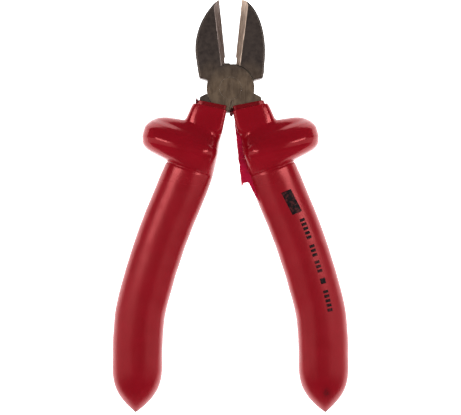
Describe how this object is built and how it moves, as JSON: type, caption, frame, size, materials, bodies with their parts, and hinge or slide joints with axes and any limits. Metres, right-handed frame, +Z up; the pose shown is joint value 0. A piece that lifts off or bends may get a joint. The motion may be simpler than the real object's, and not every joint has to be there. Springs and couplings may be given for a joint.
{
  "type": "insulated diagonal cutting pliers",
  "caption": "Lap-joint diagonal cutting pliers with bevelled jaws and dipped insulating handles that carry side guards.",
  "frame": {"origin": "centre of the footprint with the jaws standing open at rest, on the surface that the two guards rest on", "axes": "+Y towards the jaw tips, +X towards the right handle, +Z up out of the face that is seen; the pliers lie flat"},
  "size_m": [0.0926, 0.1612, 0.024],
  "materials": {
    "forged_steel": "ground and blackened, dark brown",
    "rivet_steel": "ground flush and blackened",
    "outer_vinyl": "glossy dipped vinyl, red",
    "inner_vinyl": "dipped vinyl, dark red",
    "collar_vinyl": "moulded vinyl under the outer coat"
  },
  "bodies": {
    "front_half": {"front_lever": "forged_steel", "pivot_rivet": "rivet_steel", "right_inner_coat": "inner_vinyl", "right_guard_collar": "collar_vinyl", "right_outer_coat": "outer_vinyl"},
    "rear_half": {"rear_lever": "forged_steel", "left_inner_coat": "inner_vinyl", "left_guard_collar": "collar_vinyl", "left_outer_coat": "outer_vinyl"}
  },
  "joints": [
    {"name": "jaw_pivot", "type": "hinge", "parent": "front_half", "child": "rear_half", "pos_m": [0, 0.04583, 0.012], "axis": [0, 0, 1], "range_deg": [-30, 14.2]}
  ]
}
